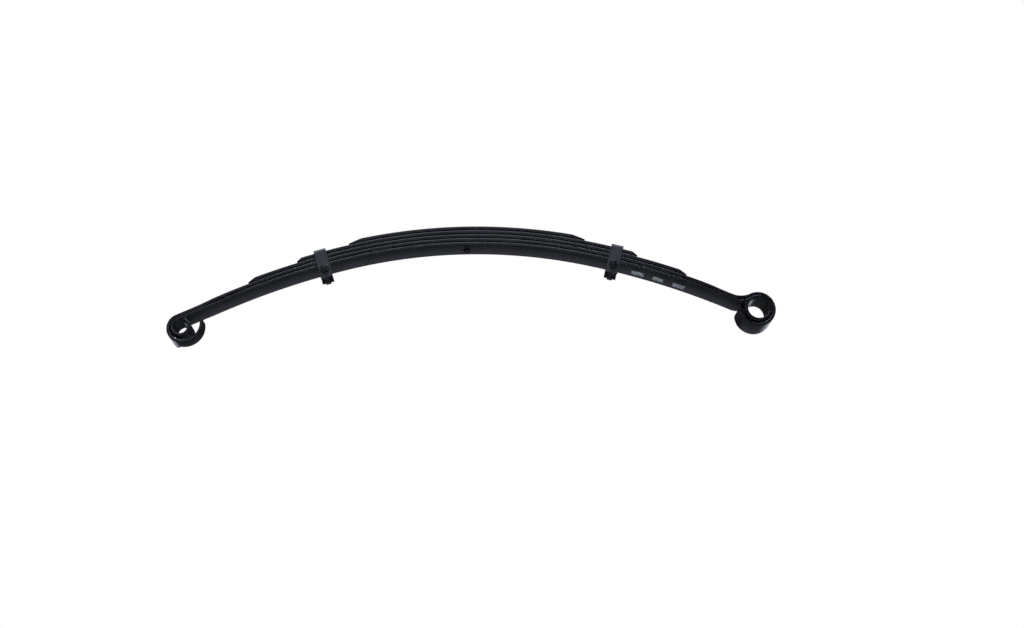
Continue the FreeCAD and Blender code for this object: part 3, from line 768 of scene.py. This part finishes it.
def hexagon(flats, crown, length):
    """Radius rule of a hexagonal piece whose corners are turned off at both ends."""

    def shape(angle, radius, height):
        if radius <= flats / 2 - 1.5:
            return radius
        side = flats / 2 / math.cos(math.radians(math.degrees(angle) % 60 - 30))
        return min(side, crown + min(height, length - height) * CORNER_SPREAD)

    return shape


def hexagon_rings(flats, length):
    outer = flats / 2 + 1
    low = [(outer, depth, 0.8 if depth < 1.2 else 0.2) for depth in CORNER_DEPTHS]
    high = [(outer, length - depth, weight) for _, depth, weight in reversed(low)]
    return [*low, (outer, length / 2, 0.1), *high]


def nut(node, flats, matrix):
    """A hexagon nut with a plain bore."""
    rings = [
        (BORE_RADIUS, NUT_EDGE, 0.3),
        (BORE_RADIUS + NUT_EDGE, 0.0, 0.6),
        *hexagon_rings(flats, NUT_HEIGHT),
        (BORE_RADIUS + NUT_EDGE, NUT_HEIGHT, 0.6),
        (BORE_RADIUS, NUT_HEIGHT - NUT_EDGE, 0.3),
    ]
    shape = hexagon(flats, flats / 2 - NUT_CROWN, NUT_HEIGHT)
    turned(node, rings, matrix, closed=True, shape=shape)


def threaded(start, end):
    """Radius rule that cuts a helical thread into a shank from start to its chamfered end."""

    def shape(angle, radius, height):
        if height < start:
            return radius
        turn = (height / THREAD_PITCH - angle / (2 * math.pi)) % 1.0
        depth = THREAD_DEPTH * (1 - abs(2 * turn - 1) * 1.6)
        return min(radius - max(0.0, depth), radius + (end - height) - THREAD_CHAMFER)

    return shape


def thread_rings(start, end):
    count = round((end - start) / THREAD_STEP)
    rings = [(BOLT_RADIUS, start + (end - start) * i / count, 0.2) for i in range(count + 1)]
    return [*rings, (0, end, 0.4)]


# ---------------------------------------------------------------- clips
BEND_CUT = 3.0  # how much closer together a strap's edges are at its bends
BEND_FADE = 0.45  # how fast that goes with the distance from them
OUTER_CUT = 0.2  # the outer edge's share of it
CLIP_THREAD = 2 * LEG_OUTSIDE + 5.0  # its start, inside the nut
CLIP_BOLT_END = 2 * LEG_OUTSIDE + NUT_HEIGHT + BOLT_PROUD


def strap_faces():
    leg = LEG_OUTSIDE - CLIP_THICK / 2
    top = WEB_INSIDE + CLIP_THICK / 2
    runs = [
        Line((-leg, -NEAR_DROP), (-leg, top - CLIP_BEND)),
        Arc((CLIP_BEND - leg, top - CLIP_BEND), CLIP_BEND, 180, 90),
        Line((CLIP_BEND - leg, top), (leg - CLIP_BEND, top)),
        Arc((leg - CLIP_BEND, top - CLIP_BEND), CLIP_BEND, 90, 0),
        Line((leg, top - CLIP_BEND), (leg, -FAR_DROP)),
    ]
    return faces_of(runs, CLIP_THICK)


def strap_sides(faces, crownward):
    """Where the strap's two edges run: a little closer together round its bends, most of all
    towards the crown."""
    corner = WEB_INSIDE + CLIP_THICK
    sides = []
    for outer, inner in zip(*faces):
        across = (outer[0] + inner[0]) / 2
        up = (outer[1] + inner[1]) / 2
        edge = math.dist((abs(across), up), (LEG_OUTSIDE, corner))
        bend = max(0.0, BEND_CUT - edge * BEND_FADE)
        cuts = (bend, bend * OUTER_CUT)
        low, high = cuts if crownward < 0 else cuts[::-1]
        sides.append((-CLIP_WIDTH / 2 + low, CLIP_WIDTH / 2 - high))
    return sides


def rivet_rings():
    """From the foot under the fourth leaf to the dome on the strap."""
    bottom = CLIP_STACK - THICK
    top = WEB_INSIDE + CLIP_THICK
    head, rise = RIVET_HEAD
    foot, depth = RIVET_FOOT
    dome = (head * head + rise * rise) / (2 * rise)
    edge = math.asin(head / dome)
    rings = [
        (0, bottom, 0),
        (foot, bottom, 0),
        (RIVET_RADIUS, bottom + depth, 0),
        (RIVET_RADIUS, top, 0),
        (head, top, 0.8),
    ]
    for i in range(1, DOME_STEPS + 1):
        turn = edge * (1 - i / DOME_STEPS)
        height = top + rise - dome + dome * math.cos(turn)
        rings.append((dome * math.sin(turn), height, 0.5 - i / 20))
    return rings


def clip_bolt_rings():
    """From the head's end to the thread's, with the head below zero."""
    head = hexagon_rings(CLIP_FLATS, HEAD_HEIGHT)[:-1]
    return [
        (0, -HEAD_HEIGHT, 0),
        (CLIP_FLATS / 2 - 2.5, -HEAD_HEIGHT, 0.2),
        *((radius, height - HEAD_HEIGHT, weight) for radius, height, weight in head),
        (CLIP_FLATS / 2 + 1, -0.02, 0.4),
        (BOLT_RADIUS, 0, 0),
        (BOLT_RADIUS, CLIP_THREAD - 0.3, 0),
        *thread_rings(CLIP_THREAD, CLIP_BOLT_END),
    ]


def clip_bolt_shape():
    head = hexagon(CLIP_FLATS, CLIP_FLATS / 2 - HEAD_CROWN, HEAD_HEIGHT)
    shank = threaded(CLIP_THREAD, CLIP_BOLT_END)

    def shape(angle, radius, height):
        if height < 0:
            return head(angle, radius, height + HEAD_HEIGHT)
        return shank(angle, radius, height)

    return shape


def tube_rings():
    low = [
        (BORE_RADIUS, TUBE_EDGE, 0.2),
        (BORE_RADIUS + TUBE_EDGE, 0, 0.8),
        (TUBE_RADIUS - TUBE_EDGE, 0, 0.8),
        (TUBE_RADIUS, TUBE_EDGE, 0.8),
    ]
    high = [(radius, TUBE_LENGTH - height, weight) for radius, height, weight in reversed(low)]
    return [*low, (TUBE_RADIUS, TUBE_LENGTH / 2, 0.1), *high]


def build_clip(side, sign, centre):
    """One clip's strap, bolt, nut, rivet and tube, round the flank's centre."""
    slope = sign * slope_at(CLIP_REACH[side], 0)
    base = polar(centre, FLANK, 90 - slope)
    clip = Matrix.Translation((base[0], 0, base[1])) @ Matrix.Rotation(math.radians(slope), 4, "Y")

    def across_clip(u, v, w):
        return clip @ Vector((w, u, v))

    def on_bolt(across):
        start = Matrix.Translation((0, across, -BOLT_DROP))
        return clip @ start @ Matrix.Rotation(math.radians(90), 4, "X")

    faces = strap_faces()
    strip(f"{side}_clip_strap", faces, strap_sides(faces, -sign), CLIP_THICK, "clip_paint",
          corner=0.9, bulge=0.1, across=6, bevel=0.8, place=across_clip)
    bolt_start = on_bolt(LEG_OUTSIDE)
    turned(f"{side}_clip_bolt", clip_bolt_rings(), bolt_start, shape=clip_bolt_shape())
    nut(f"{side}_clip_nut", CLIP_FLATS, on_bolt(-LEG_OUTSIDE))
    turned(f"{side}_clip_rivet", rivet_rings(), clip)
    tube_start = on_bolt(TUBE_LENGTH / 2)
    turned(f"{side}_clip_tube", tube_rings(), tube_start, body=f"{side}_clip_roller", closed=True)


build_clip("left", -1, LEFT_CENTRE)
build_clip("right", 1, RIGHT_CENTRE)

# ---------------------------------------------------------------- centre bolt
CENTRE_THREAD = STACK_TOP + 7.2  # its start, inside the nut


def centre_bolt_rings():
    """From the dimple in the head's end, below the stack, to the thread's end above it."""
    end = -CENTRE_HEAD_HEIGHT
    rim = CENTRE_HEAD_RADIUS
    return [
        (0, end + 0.8, 0.2),
        (1.6, end + 0.8, 0.4),
        (2.4, end, 0.6),
        (rim - 0.9, end, 0.5),
        # full edge weight on the head's rim, for wear and a painted glint
        (rim - 0.3, end + 0.3, 1),
        (rim, end + 0.9, 1),
        (rim, 0, 0.3),
        (BOLT_RADIUS, 0, 0),
        (BOLT_RADIUS, CENTRE_THREAD - 0.2, 0),
        *thread_rings(CENTRE_THREAD, CENTRE_BOLT_END),
    ]


centre_shape = threaded(CENTRE_THREAD, CENTRE_BOLT_END)
turned("centre_bolt", centre_bolt_rings(), Matrix.Identity(4), shape=centre_shape)
nut("centre_nut", CENTRE_FLATS, Matrix.Translation((0, 0, STACK_TOP)))

# ---------------------------------------------------------------- camera
# where it stands round the point it looks at, and its lens
AIM = Vector((0, 0, -0.06))
DISTANCE = 2.941
AZIMUTH = math.radians(-0.400)
ELEVATION = math.radians(-19.856)
ROLL = math.radians(-1.196)
LENS = 48.23
SHIFT = (0.04348, -0.03721)


def place_camera():
    data = bpy.data.cameras.new("camera")
    data.sensor_width = 36.0
    data.lens = LENS
    data.shift_x, data.shift_y = SHIFT
    data.dof.use_dof = False
    camera = bpy.data.objects.new("camera", data)
    bpy.context.scene.collection.objects.link(camera)
    flat = math.cos(ELEVATION)
    back = Vector((math.sin(AZIMUTH) * flat, -math.cos(AZIMUTH) * flat, math.sin(ELEVATION)))
    level_right = (-back).cross(Vector((0, 0, 1))).normalized()
    level_up = level_right.cross(-back)
    right = level_right * math.cos(ROLL) + level_up * math.sin(ROLL)
    up = -level_right * math.sin(ROLL) + level_up * math.cos(ROLL)
    turn = Matrix((right, up, back)).transposed().to_4x4()
    camera.matrix_world = Matrix.Translation(AIM + back * DISTANCE) @ turn
    return camera


bpy.context.scene.camera = place_camera()

# ---------------------------------------------------------------- light, world and floor
LIGHT_COLOUR = (0.88, 0.95, 1.12)
WORLD_IN_GLOSS = 0.03
FLOOR_RADIUS = 30
FLOOR_HEIGHT = -3.6


def softbox(name, location, target, width, height, radiance):
    """A rectangular light of a given radiance, unseen by the camera."""
    data = bpy.data.lights.new(name, "AREA")
    data.shape = "RECTANGLE"
    data.size = width
    data.size_y = height
    data.color = LIGHT_COLOUR
    data.energy = radiance * math.pi * width * height
    lamp = bpy.data.objects.new(name, data)
    lamp.location = location
    lamp.rotation_mode = "QUATERNION"
    lamp.rotation_quaternion = (Vector(target) - Vector(location)).to_track_quat("-Z", "Y")
    lamp.visible_camera = False
    bpy.context.scene.collection.objects.link(lamp)


softbox("front_softbox", (-0.5, -2.6, 0.9), (0, 0, -0.05), 2.6, 1.1, 0.40)
softbox("key_strip", (0, -1.5, 2.0), (0, 0, -0.05), 2.8, 0.6, 13.0)
softbox("low_strip", (0, -1.9, -1.9), (0, 0, -0.1), 2.8, 0.5, 2.5)
softbox("top_softbox", (0, 0.2, 2.4), (0, 0, 0), 2.4, 1.6, 0.8)
softbox("back_softbox", (0.2, 2.4, -0.7), (0, 0, -0.05), 3.0, 0.8, 0.04)
softbox("left_softbox", (-1.7, 2.6, 0.05), (-0.6, 0, -0.17), 0.8, 0.9, 0.8)
softbox("right_softbox", (1.7, 2.6, 0.05), (0.6, 0, -0.15), 0.8, 0.9, 0.8)


def make_world():
    """White all round, but nearly black where the gloss of the paint mirrors it."""
    world = bpy.data.worlds.new("studio")
    world.use_nodes = True
    tree = world.node_tree
    tree.nodes.clear()
    path = tree.nodes.new("ShaderNodeLightPath")
    white = tree.nodes.new("ShaderNodeBackground")
    white.inputs["Color"].default_value = (1, 1, 1, 1)
    white.inputs["Strength"].default_value = 1.0
    dim = tree.nodes.new("ShaderNodeBackground")
    dim.inputs["Color"].default_value = (0.9, 0.95, 1, 1)
    dim.inputs["Strength"].default_value = WORLD_IN_GLOSS
    blend = tree.nodes.new("ShaderNodeMixShader")
    output = tree.nodes.new("ShaderNodeOutputWorld")
    tree.links.new(path.outputs["Is Glossy Ray"], blend.inputs[0])
    tree.links.new(white.outputs[0], blend.inputs[1])
    tree.links.new(dim.outputs[0], blend.inputs[2])
    tree.links.new(blend.outputs[0], output.inputs["Surface"])
    return world


def make_floor():
    """A pale disc far below the spring, which hangs free as in the photograph."""
    mesh = bpy.data.meshes.new("floor")
    rim = [(*polar((0, 0), FLOOR_RADIUS, angle), FLOOR_HEIGHT) for angle in range(0, 360, 5)]
    mesh.from_pydata(rim, [], [tuple(range(len(rim)))])
    floor = bpy.data.objects.new("floor", mesh)
    bpy.context.scene.collection.objects.link(floor)
    shader = Shader("pale_floor")
    colour = shader.mix(shader.noise(3, 3), (0.80, 0.80, 0.80), (0.86, 0.86, 0.86))
    shader.fill(shader.surface, {"Base Color": colour, "Roughness": 0.8})
    mesh.materials.append(shader.material)
    floor.visible_glossy = False


bpy.context.scene.world = make_world()
make_floor()
bpy.context.scene.view_settings.view_transform = "Standard"
